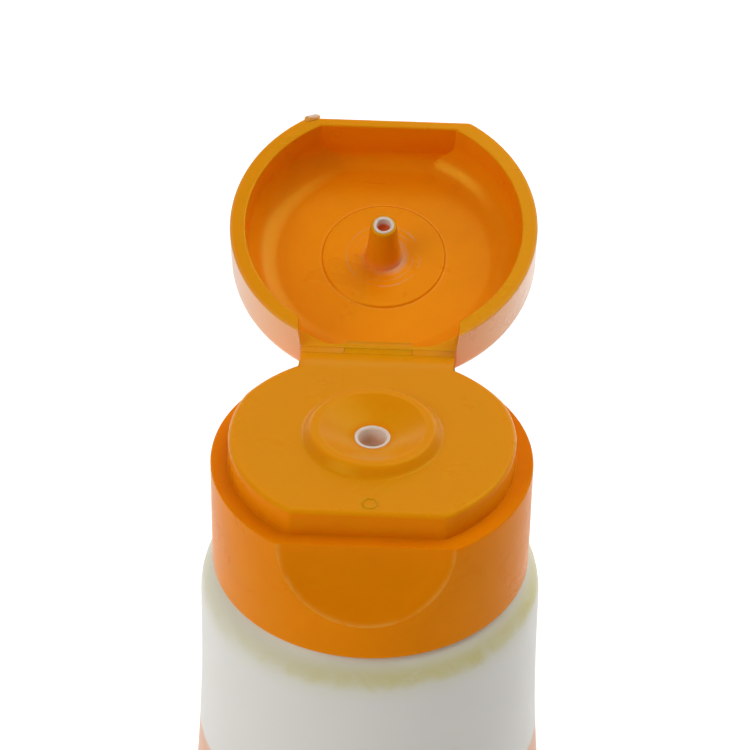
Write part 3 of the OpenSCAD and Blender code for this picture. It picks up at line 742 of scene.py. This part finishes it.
def cap_edge(point, angle):
    """Width of the soft edge of the cap base at this point, where two faces meet at this angle."""
    around = math.hypot(point.x, point.y)
    under_deck = point.z < DECK_Z - 0.2 * MM and around < 12.4 * MM
    in_skirt = point.z < LEDGE_Z - 1.0 * MM and around < 15.6 * MM
    scoop_line = around > 16.3 * MM and SKIRT_Z + 0.3 * MM < point.z < LEDGE_Z - 0.5 * MM
    if under_deck or in_skirt or scoop_line:
        return 0.0
    if around < 2.2 * MM:
        return 0.08 * MM if angle > math.radians(30) else 0.0
    if around < 5.7 * MM:
        crest = abs(around - 5.5 * MM) < 0.1 * MM and angle > math.radians(12)
        return 0.06 * MM if crest else 0.0
    if at_corner(point, DECK_CORNER, 0.15 * MM) and angle > math.radians(20):
        return 0.35 * MM
    return 0.13 * MM if angle > SHARP else 0.0


def lid_edge(point, angle):
    """The same for the lid, for a point of the open lid."""
    closed = PIVOT + Matrix.Rotation(LID_OPEN, 3, "X") @ (point - PIVOT)
    around = math.hypot(closed.x, closed.y)
    if around < 7.2 * MM:
        return 0.05 * MM if angle > SHARP else 0.0
    dish = around < 15.5 * MM and LEDGE_Z + 2.5 * MM < closed.z < LID_FLOOR_Z + 0.05 * MM
    panel_end = abs(closed.x) > 7.9 * MM and closed.y < -13.0 * MM and closed.z > LID_FLOOR_Z - 1.2 * MM
    notch_end = abs(closed.x) > 8.2 * MM and closed.y > 13.2 * MM and closed.z < DECK_Z
    if dish or panel_end or notch_end:
        return 0.0
    if at_corner(closed, LID_CORNER, 0.2 * MM) and angle > math.radians(20):
        return 0.5 * MM
    return 0.15 * MM if angle > SHARP else 0.0


def softened(node, name, width_at):
    """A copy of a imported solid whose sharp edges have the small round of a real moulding."""
    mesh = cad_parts[node].data.copy()
    piece = bpy.data.objects.new(name, mesh)
    bpy.context.scene.collection.objects.link(piece)
    work = bmesh.new()
    work.from_mesh(mesh)
    bmesh.ops.remove_doubles(work, verts=work.verts, dist=0.0005 * MM)
    bmesh.ops.dissolve_limit(work, angle_limit=math.radians(0.4), verts=work.verts, edges=work.edges)
    share = work.edges.layers.float.new("bevel_weight_edge")
    for edge in work.edges:
        if len(edge.link_faces) == 2:
            middle = (edge.verts[0].co + edge.verts[1].co) / 2
            edge[share] = width_at(middle, edge.calc_face_angle()) / WIDEST_EDGE
    work.to_mesh(mesh)
    work.free()
    smooth_faces(piece, 40)
    round_off = piece.modifiers.new("edge", "BEVEL")
    round_off.width = WIDEST_EDGE
    round_off.segments = 3
    round_off.limit_method = "WEIGHT"
    round_off.use_clamp_overlap = False
    round_off.miter_outer = "MITER_ARC"
    even = piece.modifiers.new("even", "WEIGHTED_NORMAL")
    even.mode = "FACE_AREA"
    even.weight = 80
    even.keep_sharp = True
    return settled(piece)


def upright(radius, low, high, side):
    """Direction out of (side 1) or into (side -1) an upright round wall, for a point on it."""

    def at(point):
        out = math.hypot(point.x, point.y)
        if low < point.z < high and abs(out - radius) < 0.015 * MM:
            return Vector((point.x, point.y, 0)) * (side / out)

    return at


def lying(y, z, radius, side):
    """The same for a round wall that lies along X."""

    def at(point):
        arm = Vector((0, point.y - y, point.z - z))
        if abs(arm.length - radius) < 0.03 * MM:
            return arm * (side / arm.length)

    return at


def hollow_corner(ring, z, radius):
    """The same for a hollow round corner that runs round the axis."""

    def at(point):
        out = math.hypot(point.x, point.y)
        if out > ring:
            arm = Vector((point.x * (1 - ring / out), point.y * (1 - ring / out), point.z - z))
            if abs(arm.length - radius) < 0.015 * MM:
                return arm * (-1 / arm.length)

    return at


def even_shading(piece, walls, closed=False):
    """Gives the round walls their exact directions, so that they shade as one even curve."""
    turn = Matrix.Rotation(LID_OPEN if closed else 0.0, 3, "X")
    back = turn.transposed()
    mesh = piece.data
    spots = [PIVOT + turn @ (vert.co - PIVOT) for vert in mesh.vertices]
    found = [[way for way in (wall(spot) for wall in walls) if way] for spot in spots]
    normals = [corner.vector.copy() for corner in mesh.corner_normals]
    for face in mesh.polygons:
        facing = turn @ face.normal
        for loop in face.loop_indices:
            for way in found[mesh.loops[loop].vertex_index]:
                if way.dot(facing) > 0.93:
                    normals[loop] = back @ way
    mesh.normals_split_custom_set(normals)


class TUBE_OT_cap(bpy.types.Operator):
    """Finish the cap base, the tube head and the lid in moulded plastic with soft edges"""

    bl_idname = "squeeze_tube.cap"
    bl_label = "Cap and lid"

    def execute(self, context):
        sizes = context.scene.cap_settings
        paint(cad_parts["tube_head"], head_plastic("milky tube head"))
        cream = context.scene.cream_settings
        base = softened("cap_base", "cap_moulding", cap_edge)
        even_shading(base, (
            upright(CAP_R, SKIRT_Z, LEDGE_Z, 1), upright(PLATEAU_R, LEDGE_Z, DECK_Z, 1),
            *(lying(axis_y, LEDGE_Z, SCOOP_R, -1) for axis_y in SCOOP_AXES_Y)))
        paint(base, orange_plastic("orange cap", sizes.orange, sizes, 1.0, cap_wear_and_painted_light(sizes)))
        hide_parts("cap_base")
        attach(base, "tube")
        lid = softened("lid", "lid_moulding", lid_edge)
        even_shading(lid, (
            upright(CAP_R, LEDGE_Z, LID_FLOOR_Z, 1), upright(LID_BORE_R, LEDGE_Z, LID_FLOOR_Z - 3.3 * MM, -1),
            hollow_corner(LID_BORE_R - LID_FILLET_R, LID_FLOOR_Z - LID_FILLET_R, LID_FILLET_R),
            lying(PANEL_FILLET_Y, LID_FLOOR_Z - PANEL_FILLET_R, PANEL_FILLET_R, -1)), True)
        # The lid's tone carries dried cream and painted light.
        residue = lid_residue_and_painted_light(sizes, cream)
        paint(lid, orange_plastic("orange lid", sizes.lid_orange, sizes, 0.8, residue, 0.55))
        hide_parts("lid")
        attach(lid, "lid")
        return {"FINISHED"}


def web(name, low_x, high_x, thickness, sag):
    """A bent strip from the hinge edge of the block to that of the lid."""
    start = BLOCK_EDGE
    finish = opened(NOTCH_EDGE)
    down = Vector((0, 0, -1))
    lid_down = (opened(NOTCH_EDGE + Vector((0, 0, MM))) - finish).normalized()
    steps, points, faces = 12, [], []
    for i in range(steps + 1):
        t = i / steps
        middle = start.lerp(finish, t) + Vector((0, 0, -sag * math.sin(math.pi * t)))
        under = down.lerp(lid_down, t).normalized() * thickness
        for x in (low_x, high_x):
            points.append(Vector((x, middle.y, middle.z)))
            points.append(Vector((x, middle.y + under.y, middle.z + under.z)))
    for i in range(steps):
        a, b = 4 * i, 4 * (i + 1)
        for p, q in ((0, 1), (1, 3), (3, 2), (2, 0)):
            faces.append((a + p, a + q, b + q, b + p))
    faces.append((0, 2, 3, 1))
    faces.append((4 * steps, 4 * steps + 1, 4 * steps + 3, 4 * steps + 2))
    piece = mesh_piece(name, points, faces)
    outward(piece)
    soft = piece.modifiers.new("edge", "BEVEL")
    soft.width = 0.06 * MM
    soft.segments = 2
    soft.limit_method = "ANGLE"
    soft.angle_limit = math.radians(40)
    settled(piece)
    smooth_faces(piece, 40)
    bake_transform(piece)
    return piece


class TUBE_OT_hinge(bpy.types.Operator):
    """Bend the two hinge films and the strap between the cap base and the lid"""

    bl_idname = "squeeze_tube.hinge"
    bl_label = "Hinge films and strap"

    def execute(self, context):
        sizes = context.scene.cap_settings
        film = film_plastic("thin hinge film", sizes.film)
        gap = 0.03 * MM
        left = web("film_bent_left", -FILM_X, -STRAP_X - gap, 0.3 * MM, 0.03 * MM)
        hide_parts("film_hinge_left")
        right = web("film_bent_right", STRAP_X + gap, FILM_X, 0.3 * MM, 0.03 * MM)
        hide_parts("film_hinge_right")
        strap = web("strap_bent", -STRAP_X, STRAP_X, 0.45 * MM, 0.03 * MM)
        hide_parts("snap_strap")
        for piece in (left, right):
            paint(piece, film)
        # The strap takes the lighter lit orange, a painted reflection of the light above, so that it runs on
        # from the deck.
        paint(strap, orange_plastic("orange strap", sizes.lit_orange, sizes, 0.6))
        return {"FINISHED"}


def turned(name, profile, sides, center, wobble=0.0, map_point=None):
    """A closed piece turned round an upright axis from (radius, height) points; radius 0 closes an end."""
    points, rings = [], []
    for radius, height in profile:
        if radius == 0:
            rings.append([len(points)])
            points.append(center + Vector((0, 0, height)))
            continue
        ring = []
        for k in range(sides):
            a = 2 * math.pi * k / sides
            wave = math.sin(3 * a + 1.3) + 0.6 * math.sin(5 * a + 0.4) + 0.4 * math.sin(9 * a)
            r = radius * (1 + wobble * wave)
            ring.append(len(points))
            points.append(center + Vector((r * math.cos(a), r * math.sin(a), height)))
        rings.append(ring)
    faces = []
    for low, high in zip(rings, rings[1:] + rings[:1]):
        if len(low) == 1 and len(high) == 1:
            continue
        for k in range(sides):
            j = (k + 1) % sides
            if len(low) == 1:
                faces.append((low[0], high[j], high[k]))
            elif len(high) == 1:
                faces.append((low[k], low[j], high[0]))
            else:
                faces.append((low[k], low[j], high[j], high[k]))
    if map_point:
        points = [map_point(point) for point in points]
    piece = mesh_piece(name, points, faces)
    outward(piece)
    smooth_faces(piece, 50)
    return piece


class TUBE_OT_residue(bpy.types.Operator):
    """Put the dried cream in the outlet, in the pin and on the corner of the lid, and the mark on the deck"""

    bl_idname = "squeeze_tube.residue"
    bl_label = "Dried cream and mark"

    def execute(self, context):
        sizes = context.scene.cream_settings
        cap = context.scene.cap_settings
        # Down the bore the cream turns to the darker colour, a painted shade.
        rim = dried_cream("cream in the outlet", sizes, 0.35, (OUTLET_Z - 1.7 * MM, OUTLET_Z - 0.25 * MM))
        outlet = turned("cream_in_outlet", [(r * MM, h * MM) for r, h in (
            (0, -2.75), (1.45, -2.7), (1.66, -2.4), (1.68, -0.09), (1.74, -0.03), (1.86, 0.0), (1.85, 0.05),
            (1.76, 0.095), (1.62, 0.09), (1.50, 0.0), (1.44, -0.2), (1.40, -0.9), (1.34, -1.5),
            (1.1, -1.85), (0.6, -2.0), (0, -2.02))], 64, Vector((0, 0, OUTLET_Z)), 0.004)
        paint(outlet, rim)
        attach(outlet, "tube")
        tip_z = LEDGE_Z + 0.45 * MM
        pin = turned("cream_in_pin", [(r * MM, h * MM) for r, h in (
            (0, 1.6), (0.6, 1.55), (0.78, 1.3), (0.80, 0.09), (0.86, 0.03), (1.10, 0.0), (1.13, -0.03),
            (1.08, -0.07), (0.93, -0.08), (0.80, -0.03), (0.74, 0.2), (0.70, 0.9), (0.5, 1.2), (0, 1.25))],
            48, Vector((0, 0, tip_z)), 0.006, opened)
        tip = opened((0, 0, tip_z)).z
        hole = (tip - 0.75 * MM, tip - 0.15 * MM)
        paint(pin, dried_cream("cream in the pin", sizes, 0.35, hole, sizes.glow))
        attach(pin, "lid")
        self.crumb(sizes)
        ring = turned("deck_mark", [(cap.mark_radius + dr * MM, dz * MM) for dr, dz in (
            (-0.10, -0.05), (-0.09, 0.03), (-0.05, 0.065), (0.0, 0.075), (0.05, 0.065), (0.09, 0.03),
            (0.10, -0.05))], 40, Vector((0.2, -10.96, 106.0)) * MM)
        paint(ring, bpy.data.materials["orange cap"])
        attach(ring, "tube")
        return {"FINISHED"}

    def crumb(self, sizes):
        """A small crumb of dried cream that sits on the front left corner of the lid rim."""
        ball = bmesh.new()
        bmesh.ops.create_icosphere(ball, subdivisions=4, radius=1.0)
        corner = Vector((-8.5, -14.0, 103.1)) * MM
        for vert in ball.verts:
            x, y, z = vert.co
            lump = 1 + 0.13 * math.sin(5 * x + 2) * math.cos(4 * y) + 0.08 * math.sin(9 * z + 4 * x)
            here = Vector((x * sizes.nub, y * 0.42 * MM, z * 0.34 * MM)) * lump
            vert.co = opened(corner + Matrix.Rotation(math.radians(-18), 3, "Z") @ here)
        mesh = bpy.data.meshes.new("lid_crumb")
        ball.to_mesh(mesh)
        ball.free()
        piece = bpy.data.objects.new("lid_crumb", mesh)
        bpy.context.scene.collection.objects.link(piece)
        outward(piece)
        smooth_faces(piece, 80)
        # The crumb is orange below and cream-white on top; the white top is partly a painted highlight.
        middle = opened(corner).z
        stained = (middle + 0.12 * MM, middle + 0.4 * MM)
        paint(piece, dried_cream("cream crumb", sizes, 0.55, stained, sizes.stain))
        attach(piece, "lid")


class TUBE_OT_stage(bpy.types.Operator):
    """Set out the pale floor, the soft lights and the camera"""

    bl_idname = "squeeze_tube.stage"
    bl_label = "Stage"

    def execute(self, context):
        sizes = context.scene.stage_settings
        self.floor(sizes)
        self.lights(context, sizes)
        self.camera(context, sizes)
        context.scene.view_settings.view_transform = "Standard"
        return {"FINISHED"}

    def floor(self, sizes):
        reach, cells = 3.0, 8
        wide = cells + 1
        steps = [reach * (2 * i / cells - 1) for i in range(wide)]
        points = [(x, y, 0) for y in steps for x in steps]
        corners = [j * wide + i for j in range(cells) for i in range(cells)]
        floor = mesh_piece("floor", points, [(c, c + 1, c + wide + 1, c + wide) for c in corners])
        material, graph, shader, place = finish_base("pale floor", 0.7, 0.2, 0.0, (1, 1, 1), 1 * MM)
        clouds = graph.span(noise(graph, place, 4, 3.0), 0.3, 0.7)
        soft = graph.blend(clouds, rgba(sizes.floor), rgba(sizes.floor, 0.985))
        graph.put(shader.inputs["Base Color"], soft)
        shader.inputs["Emission Color"].default_value = (1, 1, 1, 1)
        # The floor glows, more behind and towards the left, so that it lights the tube from below as a broad
        # soft source.
        x, y, z = graph.parts(place)
        behind = graph.sub(y, graph.mul(x, 0.5))
        graph.put(shader.inputs["Emission Strength"], graph.span(behind, -0.12, 0.08, 0.15, 0.45, True))
        paint(floor, material)

    def lights(self, context, sizes):
        aim = Vector((0, 10 * MM, LEDGE_Z))
        for name, place, size, power in (
            ("top light", (-0.66, -0.52, 0.75), (0.6, 0.6), sizes.top),
            ("back light", (0.46, 0.29, 0.96), (0.8, 0.8), sizes.back),
            ("backdrop", (0.0, 0.75, 0.28), (1.6, 0.5), sizes.glow),
        ):
            lamp = bpy.data.lights.new(name, "AREA")
            lamp.shape = "RECTANGLE"
            lamp.size, lamp.size_y = size
            lamp.energy = power
            holder = bpy.data.objects.new(name, lamp)
            holder.location = place
            holder.rotation_euler = (aim - Vector(place)).to_track_quat("-Z", "Y").to_euler()
            context.scene.collection.objects.link(holder)
        world = bpy.data.worlds.new("even studio light")
        world.use_nodes = True
        sky = world.node_tree.nodes["Background"]
        sky.inputs["Color"].default_value = (1, 1, 1, 1)
        sky.inputs["Strength"].default_value = sizes.sky
        context.scene.world = world

    def camera(self, context, sizes):
        a, e, r = sizes.azimuth, sizes.elevation, sizes.roll
        back = Vector((math.sin(a) * math.cos(e), -math.cos(a) * math.cos(e), math.sin(e)))
        right = Vector((math.cos(a), math.sin(a), 0))
        up = back.cross(right)
        right_rolled = right * math.cos(r) + up * math.sin(r)
        up_rolled = up * math.cos(r) - right * math.sin(r)
        aim = Vector((-1.0004, 38.7202, 102.95 - 19.6651)) * MM
        view = bpy.data.cameras.new("camera")
        view.sensor_width = 36
        view.lens = sizes.lens
        view.clip_start = 0.01
        view.clip_end = 20
        holder = bpy.data.objects.new("camera", view)
        turn = Matrix((right_rolled, up_rolled, back)).transposed().to_4x4()
        turn.translation = aim + back * sizes.distance
        holder.matrix_world = turn
        context.scene.collection.objects.link(holder)
        context.scene.camera = holder


class TUBE_PT_pieces(bpy.types.Panel):
    """Lists the pieces of the squeeze tube in the order in which they are made"""

    bl_idname = "TUBE_PT_pieces"
    bl_label = "Squeeze tube"
    bl_space_type = "VIEW_3D"
    bl_region_type = "UI"
    bl_category = "Squeeze tube"

    def draw(self, context):
        for operator in OPERATORS:
            self.layout.operator(operator.bl_idname)


SETTINGS = {
    "sleeve_settings": SleeveSettings,
    "cap_settings": CapSettings,
    "cream_settings": CreamSettings,
    "stage_settings": StageSettings,
}
OPERATORS = (TUBE_OT_sleeve, TUBE_OT_cap, TUBE_OT_hinge, TUBE_OT_residue, TUBE_OT_stage)


def register():
    for group in SETTINGS.values():
        bpy.utils.register_class(group)
    for name, group in SETTINGS.items():
        setattr(bpy.types.Scene, name, PointerProperty(type=group))
    for operator in OPERATORS:
        bpy.utils.register_class(operator)
    bpy.utils.register_class(TUBE_PT_pieces)


def unregister():
    bpy.utils.unregister_class(TUBE_PT_pieces)
    for operator in reversed(OPERATORS):
        bpy.utils.unregister_class(operator)
    for name in SETTINGS:
        delattr(bpy.types.Scene, name)
    for group in reversed(list(SETTINGS.values())):
        bpy.utils.unregister_class(group)


def main():
    register()
    bpy.ops.squeeze_tube.sleeve()
    bpy.ops.squeeze_tube.cap()
    bpy.ops.squeeze_tube.hinge()
    bpy.ops.squeeze_tube.residue()
    bpy.ops.squeeze_tube.stage()


if __name__ == "__main__":
    main()
